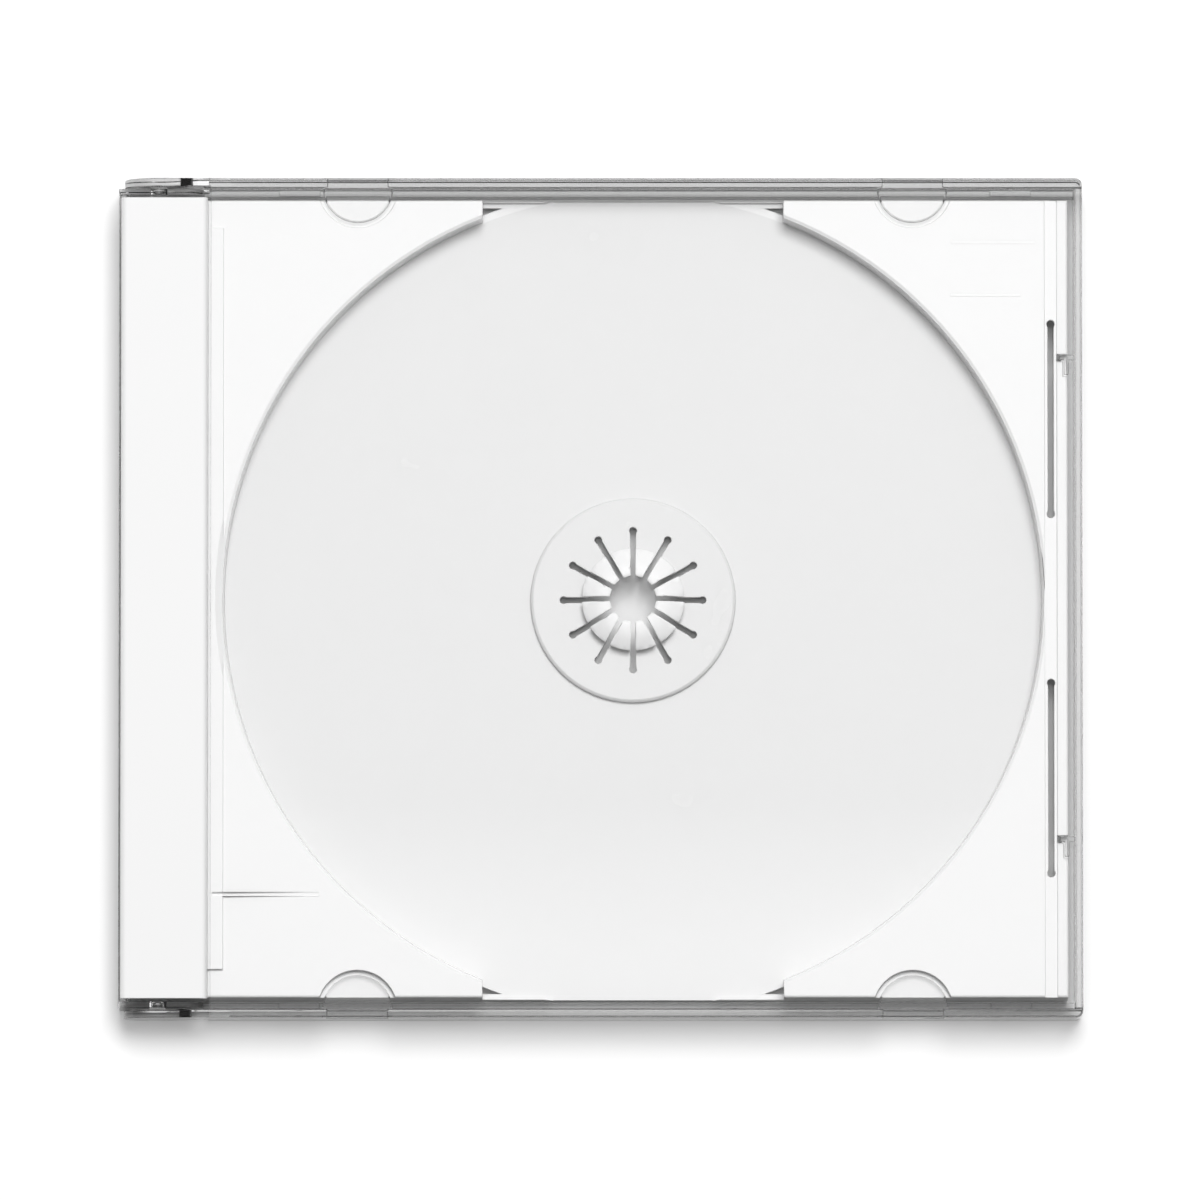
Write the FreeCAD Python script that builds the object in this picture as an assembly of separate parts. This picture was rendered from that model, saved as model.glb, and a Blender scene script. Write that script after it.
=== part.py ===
import FreeCAD, Part
import os

# A jewel case for one compact disc, closed and lying on its back: a clear base, a white disc tray that
# snaps into the base, and a clear lid that swings on two pins. Each is one moulding.
# Millimetres. X runs from the hinge to the opening edge, Y along the hinge, Z up from the base's
# outer face. The origin is the middle of that face.

Vector = FreeCAD.Vector

# Outside of the closed case
case_width = 142.0
case_height = 124.0
case_depth = 10.1

# Walls
lid_panel_wall = 1.2
base_panel_wall = 1.2
side_wall = 1.2
spine_wall = 1.2
rib_wall = 0.9
tray_wall = 1.0

# Clearances
moving_gap = 0.3
card_gap = 0.3
tray_side_gap = 0.4
pin_clearance = 0.06

# Hinge: pins on the lid's arms, holes in the base's ears
hinge_inset = 5.8
pin_radius = 1.25
pin_lead = 0.4
ear_inset = 0.8
ear_reach = 6.7
ear_corner = 2.5
arm_notch_margin = 0.5
arm_blend = 1.5
arm_overlap = 3.0

# Lid
seam_height = 3.4
booklet_room = 1.6
tab_radius = 5.2
tab_wall = 0.9
tab_edge = 0.25
tab_window_width = 9.0
near_tab_inset = 35.2
far_tab_inset = 25.0
lid_corner = 1.0
lid_edge = 0.25

# Detents that keep the lid shut
near_detent_inset = 26.6
far_detent_inset = 10.5
detent_height = 4.9
detent_radius = 1.2
detent_rise = 0.2
detent_lug_width = 6.0
detent_lug_top = 5.8

# Base
rib_height = 5.0
base_corner = 1.0
spine_drop = 1.4
spine_edge = 0.4

# Hold-down lugs on the opening edge's spine, and hooks on the hinge side's spine
lug_offset = 35.6
lug_reach = 1.5
lug_bar = 0.8
lug_leg_wall = 0.7
lug_leg_length = 2.2
lug_leg_inset = 1.1
lug_lift = 0.2
lug_wall = 0.8
lug_slot_gap = 0.15
hook_offset = 25.0
hook_width = 6.0
hook_wall = 1.0
hook_level = 5.0
hook_bite = 0.6
hook_window_gap = 0.35

# Tray: raised strip beside the hinge, ledge, plateau and disc recess
strip_width = 13.1
strip_pocket = 0.5
strip_drop = 0.4
strip_edge = 0.9
strip_lap = 1.4
lid_strip_gap = 0.4
ledge_width = 2.3
ledge_rise = 0.6
ledge_end_inset = 4.4
plateau_drop = 1.8
plateau_edge = 0.4
opening_pocket = 0.9
side_draft = 0.3
recess_offset = 4.8
recess_radius = 60.3
recess_flare = 0.4
recess_lip = 0.3
thumb_gap_width = 44.4
thumb_lip_rise = 0.7
tab_pocket_gap = 0.7

# Snap slits beside the opening edge
slit_inset = 2.5
slit_width = 0.9
slit_near = 12.5
slit_far = 40.6
slit_hole_radius = 0.6
groove_depth = 0.3
groove_width = 1.8

# Ribs under the plateau, each with a faint sink line over it: from, to and at, along X, X and Y
under_rib_wall = 0.6
under_rib_drop = 1.2
sink_depth = 0.1
under_ribs = [
    (51.6, 64.2, 52.8),
    (51.6, 62.0, 45.0),
    (-57.2, -41.4, -43.7),
]

# Hub: a ring that carries the disc, and a crown of sprung fingers that holds it
seat_rise = 1.1
seat_radius = 15.1
seat_edge = 0.4
crown_radius = 7.4
crown_wall = 0.8
crown_height = 3.0
barb_rise = 0.2
barb_height = 1.7
shoulder_height = 2.1
shoulder_inset = 0.5
crown_hole_radius = 3.4
crown_bulge = 0.2
crown_arch_drop = 0.72
finger_count = 12
finger_root_radius = 10.25
finger_slit_inner = 0.6
finger_slit_outer = 0.85
finger_hole_radius = 0.55

# Faces that the pieces share
left = -case_width / 2
right = case_width / 2
side = case_height / 2
lid_inner = side - side_wall
base_side = lid_inner - moving_gap
rib_inner = base_side - rib_wall
lid_under = case_depth - lid_panel_wall
lid_wall_bottom = seam_height + moving_gap
tab_top = lid_under - booklet_room
tab_bottom = tab_top - tab_wall
near_tab_x = left + near_tab_inset
far_tab_x = right - far_tab_inset
near_detent_x = left + near_detent_inset
far_detent_x = right - far_detent_inset
hinge_x = left + hinge_inset
hinge_z = case_depth / 2
arm_radius = case_depth / 2
strip_left = left + spine_wall + strip_pocket
strip_right = left + strip_width
strip_top = case_depth - strip_drop
lid_left = strip_right + lid_strip_gap
tray_right = right - spine_wall - opening_pocket
tray_bottom = base_panel_wall + card_gap
tray_side = rib_inner - tray_side_gap
plateau_top = lid_under - plateau_drop
recess_floor = tray_bottom + tray_wall
disc_seat = recess_floor + seat_rise
ledge_end = tray_side - ledge_end_inset
slit_x = tray_right - slit_inset
cut_margin = 1.0


def block(x0, x1, y0, y1, z0, z1):
    """A box between two corners."""
    return Part.makeBox(x1 - x0, y1 - y0, z1 - z0, Vector(x0, y0, z0))


def mirrored(shape):
    """The same shape on the other long side of the case."""
    return shape.mirror(Vector(0, 0, 0), Vector(0, 1, 0))


def on_both_sides(shapes):
    """The shapes and their copies on the other long side."""
    return shapes + [mirrored(shape) for shape in shapes]


def joined(shapes):
    """One solid from shapes that meet."""
    return shapes[0].multiFuse(shapes[1:]).removeSplitter()


def upright_edges(shape, chosen):
    """The straight edges along Z whose x and y pass the test."""
    found = []
    for edge in shape.Edges:
        first = edge.Vertexes[0].Point
        last = edge.Vertexes[-1].Point
        if abs(first.x - last.x) < 1e-6 and abs(first.y - last.y) < 1e-6 and chosen(first.x, first.y):
            found.append(edge)
    return found


def level_edges(shape, height, chosen):
    """The edges at one height whose middle passes the test."""
    found = []
    for edge in shape.Edges:
        box = edge.BoundBox
        if abs(box.ZMin - height) < 1e-6 and abs(box.ZMax - height) < 1e-6:
            if chosen(box.Center.x, box.Center.y, box.XLength, box.YLength):
                found.append(edge)
    return found


def make_lid():
    """The lid: a panel, two side walls with hinge arms and pins, booklet tabs and detent bumps."""
    panel = block(lid_left, right, -side, side, lid_under, case_depth)
    wall = block(lid_left, right, lid_inner, side, lid_wall_bottom, case_depth)
    cover = joined([panel] + on_both_sides([wall]))
    corners = upright_edges(cover, lambda x, y: x > right - 1e-3 and abs(y) > side - 1e-3)
    cover = cover.makeFillet(lid_corner, corners)
    rim = level_edges(cover, case_depth, lambda x, y, along_x, along_y: x > lid_left + 1e-3)
    cover = cover.makeChamfer(lid_edge, rim)
    tabs = [make_tab(near_tab_x), make_tab(far_tab_x)]
    bumps = [make_detent(near_detent_x, 0), make_detent(far_detent_x, 0)]
    bump_room = block(left, right, base_side, lid_inner + side_wall / 2, 0, case_depth)
    bumps = [bump.common(bump_room) for bump in bumps]
    lid = joined([cover] + on_both_sides([make_arm(), make_pin()] + tabs + bumps))
    for window in on_both_sides([tab_window(near_tab_x), tab_window(far_tab_x)]):
        lid = lid.cut(window)
    return lid


def make_arm():
    """One hinge arm, round about the hinge axis and blended into the side wall's lower edge."""
    boss = Part.makeCylinder(arm_radius, side_wall, Vector(hinge_x, lid_inner, hinge_z), Vector(0, 1, 0))
    reach = lid_left + arm_overlap
    arm = boss.fuse(block(hinge_x, reach, lid_inner, side, lid_wall_bottom, case_depth)).removeSplitter()
    blend = [
        edge
        for edge in arm.Edges
        if edge.BoundBox.YLength > side_wall / 2
        and edge.BoundBox.XLength < 1e-6
        and abs(edge.BoundBox.ZMin - lid_wall_bottom) < 1e-6
        and edge.BoundBox.XMin < reach - 1e-3
    ]
    return arm.makeFillet(arm_blend, blend)


def make_pin():
    """A hinge pin on one arm's inner face, with a lead-in at its tip."""
    length = lid_inner - rib_inner
    root = Vector(hinge_x, lid_inner, hinge_z)
    inwards = Vector(0, -1, 0)
    shank = Part.makeCylinder(pin_radius, length - pin_lead, root, inwards)
    tip_start = root + inwards * (length - pin_lead)
    tip = Part.makeCone(pin_radius, pin_radius - pin_lead, pin_lead, tip_start, inwards)
    return shank.fuse(tip)


def make_tab(x):
    """A half-moon booklet tab on one side wall."""
    disc = Part.makeCylinder(tab_radius, tab_wall, Vector(x, lid_inner, tab_bottom))
    disc = disc.makeChamfer(tab_edge, level_edges(disc, tab_top, lambda x, y, along_x, along_y: True))
    return disc.common(block(left, right, 0, lid_inner + side_wall / 2, 0, case_depth))


def tab_window(x):
    """The slot through a side wall over one tab, by which the mould frees the tab's upper face."""
    half = tab_window_width / 2
    return block(x - half, x + half, lid_inner, side + cut_margin, tab_top, lid_under)


def make_detent(x, growth):
    """A ball that stands out of a lid wall by the detent's rise, or its socket when it is grown."""
    centre = Vector(x, lid_inner + detent_radius - detent_rise, detent_height)
    return Part.makeSphere(detent_radius + growth, centre)


def make_base():
    """The base: a floor, two spines, low side walls, locating ribs, hinge ears, lugs and hooks."""
    notch_end = hinge_x + arm_radius + moving_gap + arm_notch_margin + arm_blend
    floor = block(left, right, -side, side, 0, base_panel_wall)
    corners = upright_edges(floor, lambda x, y: x > 0)
    floor = floor.makeFillet(base_corner, corners)
    notch = block(left - cut_margin, notch_end, base_side, side + cut_margin, -cut_margin, case_depth)
    floor = floor.cut(notch).cut(mirrored(notch))
    low_wall = block(notch_end, right, lid_inner, side, 0, seam_height)
    outer_corner = upright_edges(low_wall, lambda x, y: x > 0 and y > side - 1e-3)
    low_wall = low_wall.makeFillet(base_corner, outer_corner)
    rib = block(hinge_x, right - spine_wall / 2, rib_inner, base_side, 0, rib_height)
    lugs = [
        block(x - detent_lug_width / 2, x + detent_lug_width / 2, rib_inner, base_side, 0, detent_lug_top)
        for x in (near_detent_x, far_detent_x)
    ]
    left_spine = block(left, left + spine_wall, -base_side, base_side, 0, strip_top - spine_drop)
    rim = level_edges(left_spine, strip_top - spine_drop, lambda x, y, along_x, along_y: along_y > 1)
    left_spine = left_spine.makeFillet(spine_edge, rim)
    right_top = lid_under - moving_gap
    right_spine = block(right - spine_wall, right, -base_side, base_side, 0, right_top)
    rim = level_edges(right_spine, right_top, lambda x, y, along_x, along_y: along_y > 1)
    right_spine = right_spine.makeFillet(spine_edge, rim)
    hooks = [make_hook(0, strip_left + hook_bite)]
    pieces = [floor, left_spine, right_spine]
    pieces += on_both_sides([low_wall, rib, make_ear()] + lugs + hooks)
    lug_low = plateau_top + lug_lift
    pieces += [make_lug(y, 0, lug_low, lug_low + lug_wall) for y in (lug_offset, -lug_offset)]
    base = joined(pieces)
    hole = Part.makeCylinder(
        pin_radius + pin_clearance,
        side,
        Vector(hinge_x, rib_inner - pin_clearance, hinge_z),
        Vector(0, 1, 0),
    )
    sockets = [make_detent(near_detent_x, detent_rise), make_detent(far_detent_x, detent_rise)]
    for cutter in on_both_sides([hole] + sockets):
        base = base.cut(cutter)
    return base


def make_ear():
    """The plate at one end of the hinge that carries a pin hole."""
    ear_top = strip_top - ear_inset
    ear = block(left, hinge_x + ear_reach, rib_inner, base_side, 0, ear_top)
    edges = [
        edge
        for edge in ear.Edges
        if edge.BoundBox.YLength > rib_wall / 2
        and edge.BoundBox.XLength < 1e-6
        and edge.BoundBox.ZMin > ear_top - 1e-3
        and edge.BoundBox.XMin > hinge_x
    ]
    return ear.makeFillet(ear_corner, edges)


def make_lug(y, growth, low, high):
    """A T-shaped lug on the opening edge's spine, or the notch under it when it is grown."""
    half_bar = lug_bar / 2 + growth
    half_leg = lug_leg_wall / 2 + growth
    bar_start = tray_right - lug_reach - growth
    bar = block(bar_start, right - spine_wall / 2, y - half_bar, y + half_bar, low, high)
    leg_x = right - spine_wall - lug_leg_inset
    leg = block(leg_x - half_leg, leg_x + half_leg, y - half_bar - lug_leg_length, y, low, high)
    return bar.fuse(leg)


def make_hook(growth, reach):
    """A hook on the hinge side's spine as far as reach, or the tray's window when it is grown."""
    half = hook_width / 2 + growth
    return block(
        left + spine_wall / 2,
        reach,
        hook_offset - half,
        hook_offset + half,
        hook_level - growth,
        hook_level + hook_wall + growth,
    )


def tray_side_at(height):
    """How far the tray's drafted long side stands from the middle at a height."""
    return tray_side - side_draft * (height - tray_bottom) / (plateau_top - tray_bottom)


def plateau_body(inset, low, high):
    """The plateau's block, with its long sides drafted, drawn in by a wall."""
    points = [
        Vector(strip_right, -tray_side_at(low) + inset, low),
        Vector(strip_right, tray_side_at(low) - inset, low),
        Vector(strip_right, tray_side_at(high) - inset, high),
        Vector(strip_right, -tray_side_at(high) + inset, high),
    ]
    section = Part.Face(Part.makePolygon(points + points[:1]))
    return section.extrude(Vector(tray_right - inset - strip_right, 0, 0))


def recess_body(growth, low, high):
    """The disc recess's slightly flared round, grown by a wall."""
    reach = plateau_top - recess_floor
    low_radius = recess_radius + recess_flare * (low - recess_floor) / reach
    high_radius = recess_radius + recess_flare * (high - recess_floor) / reach
    foot = Vector(recess_offset, 0, low)
    return Part.makeCone(low_radius + growth, high_radius + growth, high - low, foot)


def make_hub():
    """The ring that carries the disc and the crown over it, turned about the disc's axis."""
    crown_top = disc_seat + crown_height
    seat_under = disc_seat - tray_wall
    crown_inner = crown_radius - crown_wall
    barb_z = disc_seat + barb_height
    shoulder_z = disc_seat + shoulder_height
    shoulder_r = crown_radius - shoulder_inset
    middle_r = (shoulder_r + crown_hole_radius) / 2
    middle_z = (shoulder_z + crown_top) / 2
    outer_mid = Vector(middle_r + crown_wall / 2, 0, middle_z + crown_bulge)
    inner_mid = Vector(middle_r, 0, outer_mid.z - crown_arch_drop)
    inner_top = Vector(crown_hole_radius, 0, crown_top - crown_wall)
    inner_low = Vector(crown_inner, 0, barb_z - crown_wall / 2)
    shoulder = Vector(shoulder_r, 0, shoulder_z)
    crown_mouth = Vector(crown_hole_radius, 0, crown_top)
    outline = [
        Part.makePolygon(
            [
                inner_low,
                Vector(crown_inner, 0, seat_under),
                Vector(seat_radius - tray_wall, 0, seat_under),
                Vector(seat_radius - tray_wall, 0, tray_bottom),
                Vector(seat_radius, 0, tray_bottom),
                Vector(seat_radius, 0, disc_seat - seat_edge),
                Vector(seat_radius - seat_edge, 0, disc_seat),
                Vector(crown_radius, 0, disc_seat),
                Vector(crown_radius, 0, barb_z - 2 * barb_rise),
                Vector(crown_radius + barb_rise, 0, barb_z),
                shoulder,
            ]
        ),
        Part.Arc(shoulder, outer_mid, crown_mouth).toShape(),
        Part.LineSegment(crown_mouth, inner_top).toShape(),
        Part.Arc(inner_top, inner_mid, inner_low).toShape(),
    ]
    wire = Part.Wire([edge for part in outline for edge in part.Edges])
    hub = Part.Face(wire).revolve(Vector(0, 0, 0), Vector(0, 0, 1), 360)
    return hub.translated(Vector(recess_offset, 0, 0))


def finger_slit(index):
    """One of the slits that part the crown's fingers, with the round hole at its root."""
    low = tray_bottom - cut_margin
    high = case_depth + cut_margin
    points = [
        Vector(0, -finger_slit_inner / 2, low),
        Vector(finger_root_radius, -finger_slit_outer / 2, low),
        Vector(finger_root_radius, finger_slit_outer / 2, low),
        Vector(0, finger_slit_inner / 2, low),
    ]
    slit = Part.Face(Part.makePolygon(points + points[:1])).extrude(Vector(0, 0, high - low))
    hole = Part.makeCylinder(finger_hole_radius, high - low, Vector(finger_root_radius, 0, low))
    cutter = slit.fuse(hole)
    cutter.rotate(Vector(0, 0, 0), Vector(0, 0, 1), index * 360 / finger_count)
    return cutter.translated(Vector(recess_offset, 0, 0))


def tab_pocket(x, growth, low, high):
    """The half-moon pocket that a booklet tab sinks into, grown by a wall."""
    return Part.makeCylinder(tab_radius + tab_pocket_gap + growth, high - low, Vector(x, lid_inner, low))


def make_strip():
    """The raised strip beside the hinge, open underneath, with windows for the base's hooks."""
    body = block(strip_left, strip_right, -tray_side, tray_side, tray_bottom, strip_top)
    lap_low = strip_top - tray_wall
    lap = block(strip_left - strip_lap, strip_right, -tray_side, tray_side, lap_low, strip_top)
    outer = joined([body, lap])
    rim = level_edges(outer, strip_top, lambda x, y, along_x, along_y: along_y > 1)
    outer = outer.makeFillet(strip_edge, rim)
    inner = block(
        strip_left + tray_wall,
        strip_right - tray_wall,
        -tray_side + tray_wall,
        tray_side - tray_wall,
        tray_bottom - cut_margin,
        strip_top - tray_wall,
    )
    strip = outer.cut(inner.makeFillet(strip_edge - tray_wall / 2, inner_rim(inner)))
    for window in on_both_sides([make_hook(hook_window_gap, strip_left + tray_wall + cut_margin)]):
        strip = strip.cut(window)
    return strip


def inner_rim(inner):
    """The long top edges of the strip's hollow."""
    return level_edges(inner, strip_top - tray_wall, lambda x, y, along_x, along_y: along_y > 1)


def slit_cutters():
    """Through slits with round ends, and the shallow groove in line with them."""
    cutters = [
        block(
            slit_x - groove_width / 2,
            slit_x + groove_width / 2,
            -tray_side,
            tray_side,
            plateau_top - groove_depth,
            plateau_top + cut_margin,
        )
    ]
    low = plateau_top - tray_wall - cut_margin
    for start, end in ((slit_near, slit_far), (-slit_far, -slit_near)):
        slot = block(
            slit_x - slit_width / 2,
            slit_x + slit_width / 2,
            start,
            end,
            low,
            plateau_top + cut_margin,
        )
        cutters.append(slot)
        for y in (start, end):
            hole = Part.makeCylinder(slit_hole_radius, tray_wall + 2 * cut_margin, Vector(slit_x, y, low))
            cutters.append(hole)
    return cutters


def make_tray():
    """The tray: strip, ledge, plateau, disc recess, hub, tab pockets, snap slits and ribs."""
    outer = plateau_body(0, tray_bottom, plateau_top)
    rim = level_edges(outer, plateau_top, lambda x, y, along_x, along_y: along_x > 1 or x > 0)
    outer = outer.makeFillet(plateau_edge, rim)
    hollow_top = plateau_top - tray_wall
    hollow = plateau_body(tray_wall, tray_bottom - cut_margin, hollow_top)
    shell = outer.cut(hollow)
    bowl = recess_body(tray_wall, tray_bottom, plateau_top).common(outer)
    pocket_floor = tab_bottom - moving_gap
    tab_places = (near_tab_x, far_tab_x)
    cup_low = pocket_floor - tray_wall
    cups = [tab_pocket(x, tray_wall, cup_low, plateau_top).common(outer) for x in tab_places]
    ledge = block(
        strip_right - tray_wall,
        strip_right + ledge_width,
        -ledge_end,
        ledge_end,
        hollow_top,
        plateau_top + ledge_rise,
    )
    half = under_rib_wall / 2
    rib_low = hollow_top - under_rib_drop
    sink_low = plateau_top - sink_depth
    ribs = [block(x0, x1, y - half, y + half, rib_low, plateau_top) for x0, x1, y in under_ribs]
    ribs = [rib.common(outer) for rib in ribs]
    sinks = [block(x0, x1, y - half, y + half, sink_low, case_depth) for x0, x1, y in under_ribs]
    tray = joined([shell, make_strip(), bowl, ledge] + on_both_sides(cups) + ribs)
    thumb_half = thumb_gap_width / 2
    thumb_floor = block(
        recess_offset - thumb_half,
        recess_offset + thumb_half,
        recess_radius / 2,
        tray_side_at(plateau_top),
        recess_floor,
        case_depth,
    )
    thumb_mouth = block(
        recess_offset - thumb_half,
        recess_offset + thumb_half,
        recess_radius / 2,
        side,
        recess_floor + thumb_lip_rise,
        case_depth,
    )
    pockets = [tab_pocket(x, 0, pocket_floor, case_depth) for x in tab_places]
    cutters = [recess_body(0, recess_floor, plateau_top + cut_margin)]
    cutters += [recess_lip_cone()]
    cutters += on_both_sides([thumb_floor, thumb_mouth] + pockets)
    cutters += slit_cutters() + sinks
    notch_low = hollow_top - cut_margin
    cutters += [make_lug(y, lug_slot_gap, notch_low, case_depth) for y in (lug_offset, -lug_offset)]
    hub_bore = Part.makeCylinder(
        seat_radius - tray_wall / 2, case_depth, Vector(recess_offset, 0, tray_bottom - cut_margin)
    )
    for cutter in cutters + [hub_bore]:
        tray = tray.cut(cutter)
    tray = tray.fuse(make_hub()).removeSplitter()
    for index in range(finger_count):
        tray = tray.cut(finger_slit(index))
    return tray


def recess_lip_cone():
    """The small bevel round the recess's mouth."""
    top_radius = recess_radius + recess_flare
    return Part.makeCone(
        top_radius,
        top_radius + recess_lip + cut_margin,
        recess_lip + cut_margin,
        Vector(recess_offset, 0, plateau_top - recess_lip),
    )


def write(name, shape):
    """Writes one piece as STEP, after its test for a single closed solid."""
    solids = shape.Solids
    if len(solids) != 1 or not shape.isValid():
        raise ValueError(f"{name}: {len(solids)} solids, valid {shape.isValid()}")
    solids[0].exportStep(f"parts/{name}.step")
    box = shape.BoundBox
    print(f"{name}: {shape.Volume / 1000:.2f} cm3, x {box.XMin:.2f} to {box.XMax:.2f}, "
          f"y {box.YMin:.2f} to {box.YMax:.2f}, z {box.ZMin:.2f} to {box.ZMax:.2f}")


os.makedirs("parts", exist_ok=True)
write("base", make_base())
write("tray", make_tray())
write("lid", make_lid())
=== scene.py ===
"""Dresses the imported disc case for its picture: a clear base and lid and a white tray, edges softened.

Metres, in the case's own frame: X from the hinge to the opening edge, Y along the hinge, Z up.
"""

import logging
import math
from dataclasses import dataclass
from enum import Enum
from typing import Any

import bmesh
import bpy
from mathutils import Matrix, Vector


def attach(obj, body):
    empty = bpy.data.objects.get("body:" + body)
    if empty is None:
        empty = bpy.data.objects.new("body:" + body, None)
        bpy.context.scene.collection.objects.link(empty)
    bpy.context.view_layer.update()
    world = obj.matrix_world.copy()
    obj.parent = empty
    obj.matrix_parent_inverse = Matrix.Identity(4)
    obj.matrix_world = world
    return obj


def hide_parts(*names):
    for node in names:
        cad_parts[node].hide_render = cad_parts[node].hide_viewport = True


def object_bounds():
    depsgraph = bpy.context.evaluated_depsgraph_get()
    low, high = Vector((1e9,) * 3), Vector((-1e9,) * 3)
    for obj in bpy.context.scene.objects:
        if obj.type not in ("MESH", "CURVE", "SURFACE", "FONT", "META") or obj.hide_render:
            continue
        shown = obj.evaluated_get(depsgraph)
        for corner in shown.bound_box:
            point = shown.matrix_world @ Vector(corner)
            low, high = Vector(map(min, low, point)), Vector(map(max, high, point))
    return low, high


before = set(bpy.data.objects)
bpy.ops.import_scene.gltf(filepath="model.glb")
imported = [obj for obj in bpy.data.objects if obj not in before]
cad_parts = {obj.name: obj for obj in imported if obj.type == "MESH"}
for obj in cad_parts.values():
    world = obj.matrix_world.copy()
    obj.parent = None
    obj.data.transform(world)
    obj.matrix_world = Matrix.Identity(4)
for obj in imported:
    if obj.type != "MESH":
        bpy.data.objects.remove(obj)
cad_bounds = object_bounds()

log = logging.getLogger("disc_case")
Colour = tuple[float, float, float]
MM = 0.001
WHITE = (1.0, 1.0, 1.0, 1.0)
BLACK = (0.0, 0.0, 0.0)
STYRENE_IOR = 1.57


class Node(Enum):
    """The case's three mouldings, by the names of their solids."""

    BASE = "base"
    TRAY = "tray"
    LID = "lid"


class Ray(Enum):
    """The kinds of ray that a surface can be told to answer in its own way."""

    CAMERA = "Is Camera Ray"
    SHADOW = "Is Shadow Ray"
    DIFFUSE = "Is Diffuse Ray"
    GLOSSY = "Is Glossy Ray"
    TRANSMISSION = "Is Transmission Ray"


# Shader arithmetic

class Value:
    """A number that varies over a surface, written as Python arithmetic on shader sockets."""

    def __init__(self, graph: "Graph", socket: bpy.types.NodeSocket | None) -> None:
        """Wraps a socket.

        Args:
            graph: The graph that the socket belongs to.
            socket: The output that gives the number, or None for a node that gives none.
        """
        self.graph = graph
        self.socket = socket

    def _with(self, operation: str, *others: "Value | float", clamp: bool = False) -> "Value":
        """Returns the result of one Math node on this value and others."""
        settings = {"operation": operation, "use_clamp": clamp}
        sockets = {0: self} | {place + 1: other for place, other in enumerate(others)}
        return self.graph.add("ShaderNodeMath", settings, sockets)

    def __add__(self, other: "Value | float") -> "Value":
        """Returns the sum."""
        return self._with("ADD", other)

    __radd__ = __add__

    def __mul__(self, other: "Value | float") -> "Value":
        """Returns the product."""
        return self._with("MULTIPLY", other)

    __rmul__ = __mul__

    def __sub__(self, other: "Value | float") -> "Value":
        """Returns this value less the other."""
        return self._with("SUBTRACT", other)

    def __rsub__(self, other: float) -> "Value":
        """Returns a number less this value."""
        return self * -1.0 + other

    def __truediv__(self, other: "Value | float") -> "Value":
        """Returns this value over the other."""
        return self._with("DIVIDE", other)

    def __pow__(self, other: float) -> "Value":
        """Returns this value to a power."""
        return self._with("POWER", other)

    def absolute(self) -> "Value":
        """Returns the value without its sign."""
        return self._with("ABSOLUTE")

    def at_least(self, other: "Value | float") -> "Value":
        """Returns the larger of the two."""
        return self._with("MAXIMUM", other)

    def between(self, low: float, high: float) -> "Value":
        """Returns 0 below low, 1 above high, and a straight ramp from one to the other."""
        return ((self - low) / (high - low))._with("ADD", 0.0, clamp=True)


class Graph:
    """A material's or the world's node tree, with one method that adds any node."""

    def __init__(self, tree: bpy.types.NodeTree) -> None:
        """Empties the tree.

        Args:
            tree: The node tree to fill.
        """
        self.tree = tree
        tree.nodes.clear()

    def add(
        self,
        kind: str,
        settings: dict[str, Any] | None = None,
        sockets: dict[str | int, Any] | None = None,
        output: str | int = 0,
    ) -> Value:
        """Adds a node, sets it up and feeds its sockets.

        Args:
            kind: The node's type.
            settings: The node's own settings, set before its sockets.
            sockets: For each input, a Value to link or a constant to set.
            output: The output to hand back.

        Returns:
            The chosen output, as a Value.
        """
        node = self.tree.nodes.new(kind)
        for name, setting in (settings or {}).items():
            setattr(node, name, setting)
        for name, given in (sockets or {}).items():
            if isinstance(given, Value):
                self.tree.links.new(given.socket, node.inputs[name])
            else:
                node.inputs[name].default_value = given
        if not len(node.outputs):
            return Value(self, None)
        return Value(self, node.outputs[output])

    def place(self) -> Value:
        """Returns the point on the piece in its own frame, which is the case's."""
        return self.add("ShaderNodeTexCoord", output="Object")

    def facing(self) -> Value:
        """Returns the way that the surface faces, in the piece's own frame."""
        return self.add("ShaderNodeTexCoord", output="Normal")

    def axes(self, point: Value) -> tuple[Value, Value, Value]:
        """Splits a vector into its three numbers."""
        split = self.add("ShaderNodeSeparateXYZ", sockets={0: point}).socket.node
        return tuple(Value(self, split.outputs[place]) for place in range(3))

    def ray(self, kind: Ray) -> Value:
        """Returns 1 for one kind of ray, and 0 for the others."""
        return self.add("ShaderNodeLightPath", output=kind.value)

    def noise(self, point: Value, scale: float, detail: float) -> Value:
        """Returns a cloudy number about 0.5, at a scale in cycles per metre."""
        return self.add("ShaderNodeTexNoise", sockets={"Vector": point, "Scale": scale, "Detail": detail})

    def bump(self, height: Value, depth: float, strength: float) -> Value:
        """Returns the surface's normal, tipped by a height of the given depth in metres."""
        sockets = {"Strength": strength, "Distance": depth, "Height": height}
        return self.add("ShaderNodeBump", sockets=sockets)

    def mixed(self, share: Value | float, first: Value, second: Value) -> Value:
        """Returns one shader blended into another."""
        return self.add("ShaderNodeMixShader", sockets={0: share, 1: first, 2: second})

    def shade(self, share: Value | float, first: Colour, second: Colour) -> Value:
        """Returns one colour blended into another."""
        settings = {"data_type": "RGBA"}
        sockets = {"Factor": share, 6: (*first, 1.0), 7: (*second, 1.0)}
        return self.add("ShaderNodeMix", settings, sockets, output=2)


def new_material(name: str) -> tuple[bpy.types.Material, Graph]:
    """Makes an empty material.

    Args:
        name: The material's name.

    Returns:
        The material and its graph.
    """
    material = bpy.data.materials.new(name)
    material.use_nodes = True
    return material, Graph(material.node_tree)


# Finishes

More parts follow.
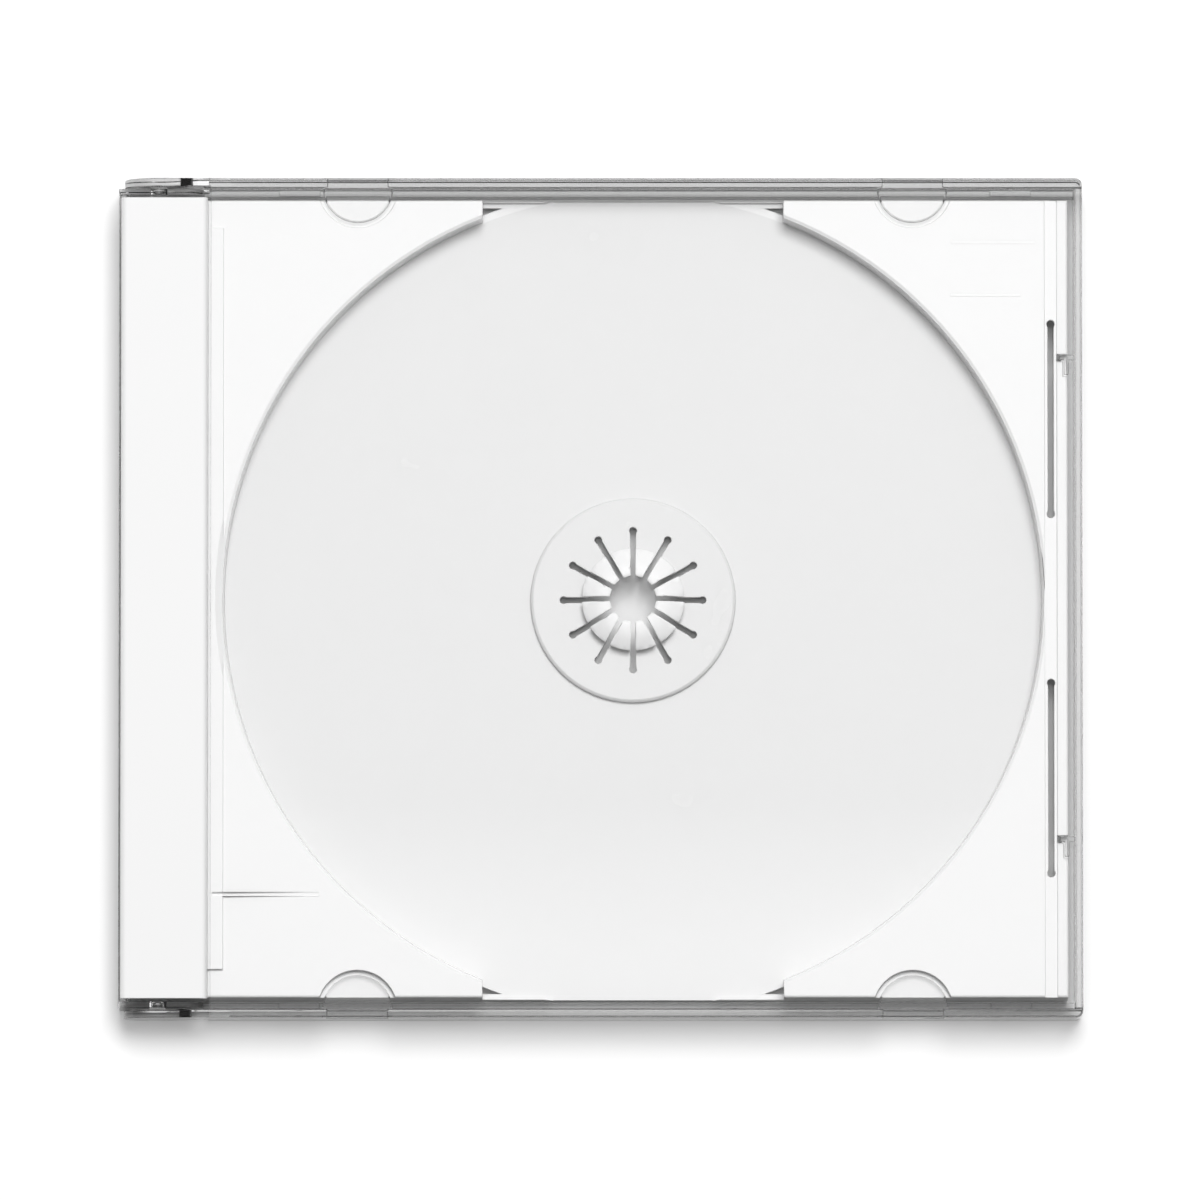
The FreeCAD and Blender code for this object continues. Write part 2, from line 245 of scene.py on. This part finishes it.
@dataclass(frozen=True)
class ClearPlastic:
    """Polished clear polystyrene, with the slight waviness of a moulding, and painted shade on its
    upright faces, darkest where they face -Y.

    Attributes:
        name: The material's name.
        tint: The colour of the level faces.
        upright_painted_shade: The share of light that an upright face keeps under the painted shade in
            its colour.
        far_side_painted_shade: The share that it keeps besides, as further painted shade, where it faces
            -Y, away from the lamp.
        mirror_tint: The colour of the mirrored light.
        roughness: The middle of the surface's roughness.
        haze_scale: The scale at which the roughness varies, in cycles per metre.
        shadow_side: The share of the lamp's light that an upright face lets through.
        wave_scale: The scale of the waviness, in cycles per metre.
        wave_depth: Its depth.
        wave_strength: Its strength, from 0 to 1.
    """

    name: str
    tint: Colour = (0.998, 0.998, 0.998)
    upright_painted_shade: float = 0.74
    far_side_painted_shade: float = 0.3
    mirror_tint: Colour = (0.8, 0.8, 0.8)
    roughness: float = 0.02
    haze_scale: float = 240.0
    shadow_side: float = 0.55
    wave_scale: float = 60.0
    wave_depth: float = 0.01 * MM
    wave_strength: float = 0.6

    def build(self) -> bpy.types.Material:
        """Makes the material.

        Returns:
            The material.
        """
        material, graph = new_material(self.name)
        point = graph.place()
        waves = graph.noise(point, self.wave_scale, 0.0)
        haze = graph.noise(point, self.haze_scale, 1.0)
        clear = graph.add(
            "ShaderNodeBsdfPrincipled",
            sockets={
                # Base Color carries painted shade: upright faces greyer, most where they face -Y, away
                # from the lamp.
                "Base Color": graph.shade(self.painted_edge_shade(graph), BLACK, self.tint),
                "Roughness": haze * self.roughness + self.roughness / 2,
                "IOR": STYRENE_IOR,
                "Transmission Weight": 1.0,
                "Specular Tint": (*self.mirror_tint, 1.0),
                "Normal": graph.bump(waves, self.wave_depth, self.wave_strength),
            },
        )
        surface = graph.mixed(self.lamp_share(graph), clear, self.lit_through(graph))
        graph.add("ShaderNodeOutputMaterial", sockets={"Surface": surface})
        return material

    def painted_edge_shade(self, graph: Graph) -> Value:
        """Returns a face's painted shade: none on the level faces, grey on the upright ones in place of
        their dark edges, darkest where they face -Y, away from the lamp.
        """
        _, along, up = graph.axes(graph.facing())
        steep = (1.0 - up * up).at_least(0.0) ** 0.5
        away = (along * -1.0).at_least(0.0)
        return (1.0 - steep * (1.0 - self.upright_painted_shade)) * (1.0 - away * (1.0 - self.far_side_painted_shade))

    def lamp_share(self, graph: Graph) -> Value:
        """Returns 1 for the rays by which lamps and pale surfaces light what is under the plastic."""
        return graph.ray(Ray.SHADOW).at_least(graph.ray(Ray.DIFFUSE))

    def lit_through(self, graph: Graph) -> Value:
        """Returns the plain see-through surface that those rays meet, darker on its upright faces."""
        _, _, up = graph.axes(graph.facing())
        upright = (self.shadow_side, self.shadow_side, self.shadow_side, 1.0)
        side = graph.add("ShaderNodeBsdfTransparent", sockets={"Color": upright})
        level = graph.add("ShaderNodeBsdfTransparent", sockets={"Color": WHITE})
        return graph.mixed(up * up, side, level)


@dataclass(frozen=True)
class SatinAndShade:
    """The round of the tray that its mould left satin, greyer partly by painted shade: the disc recess,
    up to the disc's seat.

    Attributes:
        middle: The recess's middle, in X and Y.
        outer: Its radius.
        top: The height of the disc's seat.
        shade_and_satin_fade_from: The Y at which the satin and its painted shade begin to fade, leaving
            the recess lighter towards -Y.
        shade_and_satin_fade_to: The Y at which they are gone.
        colour: The satin's colour, greyer than the polished part: partly its own tone, partly painted
            shade of the recess.
        roughness: Its roughness.
        grain_scale: The scale of its grain, in cycles per metre.
        grain_depth: The grain's depth.
        grain_strength: The grain's strength, from 0 to 1.
        rim_fade: The width over which it ends at the recess's wall.
        top_fade: The height over which it ends above the seat.
    """

    middle: tuple[float, float]
    outer: float
    top: float
    shade_and_satin_fade_from: float
    shade_and_satin_fade_to: float
    colour: Colour = (0.82, 0.82, 0.82)
    roughness: float = 0.26
    grain_scale: float = 2500.0
    grain_depth: float = 0.004 * MM
    grain_strength: float = 0.5
    rim_fade: float = 0.2 * MM
    top_fade: float = 0.1 * MM

    def patch(self, graph: Graph, point: Value) -> Value:
        """Returns 1 on the recess's floor and the disc's seat, fading to 0 towards -Y, and 0 elsewhere.
        """
        x, y, z = graph.axes(point)
        dx = x - self.middle[0]
        dy = y - self.middle[1]
        radius = (dx * dx + dy * dy) ** 0.5
        inside = 1.0 - radius.between(self.outer - self.rim_fade, self.outer)
        low = 1.0 - z.between(self.top, self.top + self.top_fade)
        # Painted light: the satin's greyer colour fades out towards -Y, so the recess is lighter there;
        # its roughness fades with it.
        shade_and_satin_kept = y.between(self.shade_and_satin_fade_to, self.shade_and_satin_fade_from)
        return inside * low * shade_and_satin_kept


@dataclass(frozen=True)
class WhitePlastic:
    """White polystyrene, polished, with a fine satin in the disc recess, greyer there partly by painted
    shade.

    Attributes:
        name: The material's name.
        satin_and_shade: The satin part, with its painted shade.
        colour: The polished part's colour.
        roughness: The middle of its roughness.
        mottle_scale: The scale at which the roughness varies, in cycles per metre.
        mottle_depth: How much it varies.
    """

    name: str
    satin_and_shade: SatinAndShade
    colour: Colour = (0.93, 0.93, 0.93)
    roughness: float = 0.16
    mottle_scale: float = 90.0
    mottle_depth: float = 0.06

    def build(self) -> bpy.types.Material:
        """Makes the material.

        Returns:
            The material.
        """
        material, graph = new_material(self.name)
        point = graph.place()
        patch = self.satin_and_shade.patch(graph, point)
        mottle = graph.noise(point, self.mottle_scale, 2.0)
        grain = graph.noise(point, self.satin_and_shade.grain_scale, 1.0)
        roughness = mottle * self.mottle_depth + self.roughness - self.mottle_depth / 2
        body = graph.add(
            "ShaderNodeBsdfPrincipled",
            sockets={
                # The recess's greyer colour is partly the satin's tone and partly painted shade.
                "Base Color": graph.shade(patch, self.colour, self.satin_and_shade.colour),
                "Roughness": roughness + patch * (self.satin_and_shade.roughness - self.roughness),
                "IOR": STYRENE_IOR,
                "Normal": graph.bump(grain * patch, self.satin_and_shade.grain_depth, self.satin_and_shade.grain_strength),
            },
        )
        graph.add("ShaderNodeOutputMaterial", sockets={"Surface": body})
        return material


@dataclass(frozen=True)
class PaleFloor:
    """A light table that the camera sees as white, and whose far part the clear edges see as dark.

    Attributes:
        pale: The colour to the camera, to matt surfaces and near the case.
        far: The colour to mirrored and bent rays far from the case.
        lift: The glow that brings the floor up to white for the camera.
        outline: How far under the case the glow reaches for mirrored and bent rays.
        table_margin: How far from the case the near part ends.
        fade: The width over which it ends.
    """

    pale: Colour = (0.88, 0.88, 0.88)
    far: Colour = (0.05, 0.05, 0.055)
    lift: float = 0.2
    outline: float = 1.0 * MM
    table_margin: float = 0.16
    fade: float = 0.1

    def build(self) -> bpy.types.Material:
        """Makes the material.

        Returns:
            The material.
        """
        material, graph = new_material("pale_floor")
        x, y, _ = graph.axes(graph.place())
        _, high = cad_bounds
        past = (x.absolute() - high[0]).at_least(y.absolute() - high[1])
        on_table = 1.0 - past.between(self.table_margin, self.table_margin + self.fade)
        near = on_table.at_least(graph.ray(Ray.CAMERA)).at_least(graph.ray(Ray.DIFFUSE))
        colour = graph.shade(near, self.far, self.pale)
        diffuse = graph.add("ShaderNodeBsdfDiffuse", sockets={"Color": colour})
        bent = graph.ray(Ray.TRANSMISSION).at_least(graph.ray(Ray.GLOSSY))
        beside = past.between(-self.outline, 0.0) * near * bent
        lift = graph.ray(Ray.CAMERA).at_least(beside) * self.lift
        glow = graph.add("ShaderNodeEmission", sockets={"Color": WHITE, "Strength": lift})
        surface = graph.add("ShaderNodeAddShader", sockets={0: diffuse, 1: glow})
        graph.add("ShaderNodeOutputMaterial", sockets={"Surface": surface})
        return material


# The case

@dataclass(frozen=True)
class Moulding:
    """One of the case's mouldings: a merged copy of its solid's mesh with its sharp edges eased.

    Attributes:
        node: The solid that the piece stands in for.
        piece_name: The piece's name.
        body: The body that it rides on.
        slot: A slot name for the piece, which is not used.
        finish: What it is made of.
        ease: The width of the eased edges.
        sharp_angle: The angle above which an edge is eased.
        flat_angle: The angle below which two facets become one.
        merge: The distance below which two corners become one.
        face_weight: How much large faces rule the shading of the corners, from 1 to 100.
    """

    node: Node
    piece_name: str
    body: str
    slot: str
    finish: ClearPlastic | WhitePlastic
    ease: float = 0.09 * MM
    sharp_angle: float = math.radians(35.0)
    flat_angle: float = math.radians(0.4)
    merge: float = 0.001 * MM
    face_weight: int = 100

    def build(self) -> bpy.types.Object:
        """Makes the piece and stands it in for the solid.

        Returns:
            The piece.
        """
        shape = bmesh.new()
        shape.from_mesh(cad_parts[self.node.value].data)
        bmesh.ops.remove_doubles(shape, verts=shape.verts, dist=self.merge)
        bmesh.ops.dissolve_limit(
            shape,
            angle_limit=self.flat_angle,
            verts=shape.verts,
            edges=shape.edges,
            delimit=set(),
        )
        self.ease_edges(shape)
        for face in shape.faces:
            face.smooth = True
        mesh = bpy.data.meshes.new(self.piece_name)
        shape.to_mesh(mesh)
        shape.free()
        mesh.set_sharp_from_angle(angle=self.sharp_angle)
        piece = bpy.data.objects.new(self.piece_name, mesh)
        bpy.context.scene.collection.objects.link(piece)
        mesh.materials.append(self.finish.build())
        level = piece.modifiers.new("level_faces", "WEIGHTED_NORMAL")
        level.keep_sharp = True
        level.weight = self.face_weight
        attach(piece, self.body)
        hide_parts(self.node.value)
        return piece

    def ease_edges(self, shape: bmesh.types.BMesh) -> None:
        """Takes the sharp edges off a little.

        Args:
            shape: The mesh to work on.
        """
        low, high = (
            Vector([pick(vert.co[axis] for vert in shape.verts) for axis in range(3)])
            for pick in (min, max)
        )
        sharp = [
            edge
            for edge in shape.edges
            if edge.is_manifold and edge.calc_face_angle() > self.sharp_angle
        ]
        bmesh.ops.bevel(
            shape,
            geom=sharp,
            offset=self.ease,
            affect="EDGES",
            segments=1,
            profile=0.5,
            material=-1,
            clamp_overlap=False,
        )
        self.hold_in(shape, low, high)

    def hold_in(self, shape: bmesh.types.BMesh, low: Vector, high: Vector) -> None:
        """Brings back the corners that the easing threw outside the moulding.

        Args:
            shape: The mesh to work on.
            low: The moulding's lowest corner.
            high: Its highest corner.
        """
        welds = {}
        for vert in shape.verts:
            held = Vector([min(max(at, least), most) for at, least, most in zip(vert.co, low, high)])
            if (vert.co - held).length > self.ease:
                around = [edge.other_vert(vert) for edge in vert.link_edges]
                welds[vert] = min(around, key=lambda other: (other.co - held).length)
            else:
                vert.co = held
        bmesh.ops.weld_verts(shape, targetmap=welds)


@dataclass(frozen=True)
class DiscCase:
    """The whole case: where its recess and disc seat lie, and its three mouldings.

    Attributes:
        recess_middle: The disc recess's middle, in X and Y.
        recess_radius: Its radius.
        seat_top: The height of the disc's seat.
    """

    recess_middle: tuple[float, float] = (4.8 * MM, 0.0)
    recess_radius: float = 60.3 * MM
    seat_top: float = 3.6 * MM

    def mouldings(self) -> list[Moulding]:
        """Returns the three mouldings, from the bottom up."""
        satin_and_shade = SatinAndShade(
            middle=self.recess_middle,
            outer=self.recess_radius,
            top=self.seat_top,
            shade_and_satin_fade_from=-self.recess_radius / 2,
            shade_and_satin_fade_to=-self.recess_radius,
        )
        return [
            Moulding(Node.BASE, "base_moulding", "base", "clear_base", ClearPlastic("clear_base")),
            Moulding(Node.TRAY, "tray_moulding", "base", "white_tray", WhitePlastic("white_tray", satin_and_shade)),
            Moulding(Node.LID, "lid_moulding", "lid", "clear_lid", ClearPlastic("clear_lid")),
        ]

    def build(self) -> None:
        """Builds the mouldings and reports each one."""
        for moulding in self.mouldings():
            piece = moulding.build()
            log.info("%s: %d faces on body %s", piece.name, len(piece.data.polygons), moulding.body)


# The studio

@dataclass(frozen=True)
class RayLimits:
    """How far rays are followed through the stacked clear walls.

    Attributes:
        total: The most bounces of any kind.
        diffuse: The most off matt surfaces.
        glossy: The most mirrored ones.
        transmission: The most bent ones.
        see_through: The most plain see-through walls.
    """

    total: int = 7
    diffuse: int = 1
    glossy: int = 4
    transmission: int = 7
    see_through: int = 16

    def build(self) -> None:
        """Sets the limits, without the tree that sorts lamps, since there is one lamp."""
        cycles = bpy.context.scene.cycles
        cycles.max_bounces = self.total
        cycles.diffuse_bounces = self.diffuse
        cycles.glossy_bounces = self.glossy
        cycles.transmission_bounces = self.transmission
        cycles.transparent_max_bounces = self.see_through
        cycles.use_light_tree = False


@dataclass(frozen=True)
class PhotoCamera:
    """A camera with the photograph's angle and framing.

    Attributes:
        photo_side: The photograph's side, in pixels.
        case_left: The column of the case's left edge.
        case_right: The column of its right edge.
        case_middle: The row of its middle.
        tilt: The angle from straight overhead, below 0 towards -Y.
        distance: How far it stands from the case.
        sensor: Its sensor's width, in millimetres.
        clip_start: The nearest that it sees.
        clip_end: The farthest that it sees.
    """

    photo_side: float = 1200.0
    case_left: float = 120.0
    case_right: float = 1081.0
    case_middle: float = 602.3
    tilt: float = math.radians(-4.5)
    distance: float = 3.0
    sensor: float = 36.0
    clip_start: float = 0.05
    clip_end: float = 50.0

    def build(self) -> None:
        """Makes the camera."""
        low, high = cad_bounds
        metres_per_pixel = (high[0] - low[0]) / (self.case_right - self.case_left)
        middle = self.photo_side / 2
        target_x = (middle - (self.case_left + self.case_right) / 2) * metres_per_pixel
        target_y = (self.case_middle - middle) * metres_per_pixel / math.cos(self.tilt)
        data = bpy.data.cameras.new("camera")
        data.sensor_width = self.sensor
        data.lens = self.sensor * self.distance / (metres_per_pixel * self.photo_side)
        data.clip_start = self.clip_start
        data.clip_end = self.clip_end
        camera = bpy.data.objects.new("camera", data)
        bpy.context.scene.collection.objects.link(camera)
        away = Vector((0.0, math.sin(self.tilt), math.cos(self.tilt)))
        camera.location = Vector((target_x, target_y, 0.0)) + away * self.distance
        camera.rotation_euler = (-self.tilt, 0.0, 0.0)
        bpy.context.scene.camera = camera


@dataclass(frozen=True)
class Table:
    """The floor that the case lies on.

    Attributes:
        half_side: Half its side.
        gap: How far it lies under the case.
        finish: Its material.
    """

    half_side: float = 4.0
    gap: float = 0.05 * MM
    finish: PaleFloor = PaleFloor()

    def build(self) -> None:
        """Makes the floor."""
        shape = bmesh.new()
        bmesh.ops.create_grid(shape, x_segments=1, y_segments=1, size=self.half_side)
        mesh = bpy.data.meshes.new("floor")
        shape.to_mesh(mesh)
        shape.free()
        floor = bpy.data.objects.new("floor", mesh)
        floor.location = (0.0, 0.0, -self.gap)
        bpy.context.scene.collection.objects.link(floor)
        mesh.materials.append(self.finish.build())


@dataclass(frozen=True)
class Surroundings:
    """A world that is white to the camera and bright overhead, and dark at the horizon.

    Attributes:
        plain: The strength by which it lights matt surfaces.
        overhead_from: The height at which the overhead part begins, where 1 is straight up.
        overhead_to: The height at which that part is whole.
        bent_low: The strength at the horizon for rays bent by the plastic.
        bent_gain: What the overhead part adds for them.
        mirrored_low: The strength at the horizon for mirrored rays.
        mirrored_gain: What the overhead part adds for them.
    """

    plain: float = 0.22
    overhead_from: float = 0.8
    overhead_to: float = 0.95
    bent_low: float = 0.1
    bent_gain: float = 1.1
    mirrored_low: float = 0.05
    mirrored_gain: float = 0.4

    def build(self) -> None:
        """Makes the world, which is too even to need samples of its own."""
        world = bpy.data.worlds.new("surroundings")
        bpy.context.scene.world = world
        world.use_nodes = True
        world.cycles.sampling_method = "NONE"
        graph = Graph(world.node_tree)
        _, _, height = graph.axes(graph.add("ShaderNodeTexCoord", output="Generated"))
        overhead = height.between(self.overhead_from, self.overhead_to)
        seen = graph.ray(Ray.CAMERA)
        bent = graph.ray(Ray.TRANSMISSION)
        mirrored = graph.ray(Ray.GLOSSY) * (1.0 - bent)
        to_matt = (1.0 - mirrored - bent) * self.plain
        to_bent = bent * (overhead * self.bent_gain + self.bent_low)
        to_mirrored = mirrored * (overhead * self.mirrored_gain + self.mirrored_low)
        strength = (to_matt + to_bent + to_mirrored).at_least(seen)
        background = graph.add("ShaderNodeBackground", sockets={"Color": WHITE, "Strength": strength})
        graph.add("ShaderNodeOutputWorld", sockets={"Surface": background})


@dataclass(frozen=True)
class KeyLamp:
    """The one lamp, a soft square above the case and towards +Y, which faces the case.

    Attributes:
        place: Where it stands.
        side: Its side.
        power: Its power, in watts.
    """

    place: tuple[float, float, float] = (0.2, 0.8, 2.2)
    side: float = 1.06
    power: float = 50.0

    def build(self) -> None:
        """Makes the lamp, and hides its mirror image, which would be a glaring patch in the lid."""
        data = bpy.data.lights.new("key", "AREA")
        data.size = self.side
        data.energy = self.power
        lamp = bpy.data.objects.new("key", data)
        lamp.location = self.place
        lamp.visible_glossy = False
        lamp.visible_transmission = False
        lamp.rotation_euler = Vector(self.place).to_track_quat("Z", "Y").to_euler()
        bpy.context.scene.collection.objects.link(lamp)


@dataclass(frozen=True)
class Studio:
    """Everything that isn't part of the case.

    Attributes:
        limits: How far rays are followed.
        camera: The camera.
        table: The floor.
        surroundings: The world.
        lamp: The lamp.
    """

    limits: RayLimits = RayLimits()
    camera: PhotoCamera = PhotoCamera()
    table: Table = Table()
    surroundings: Surroundings = Surroundings()
    lamp: KeyLamp = KeyLamp()

    def build(self) -> None:
        """Sets the plain view transform and makes each part."""
        bpy.context.scene.view_settings.view_transform = "Standard"
        for part in (self.limits, self.camera, self.table, self.surroundings, self.lamp):
            part.build()
            log.info("studio: %s", type(part).__name__)


def main() -> None:
    """Builds the studio and the case, in that order."""
    logging.basicConfig(level=logging.INFO, format="%(name)s %(message)s")
    Studio().build()
    DiscCase().build()


if __name__ == "__main__":
    main()
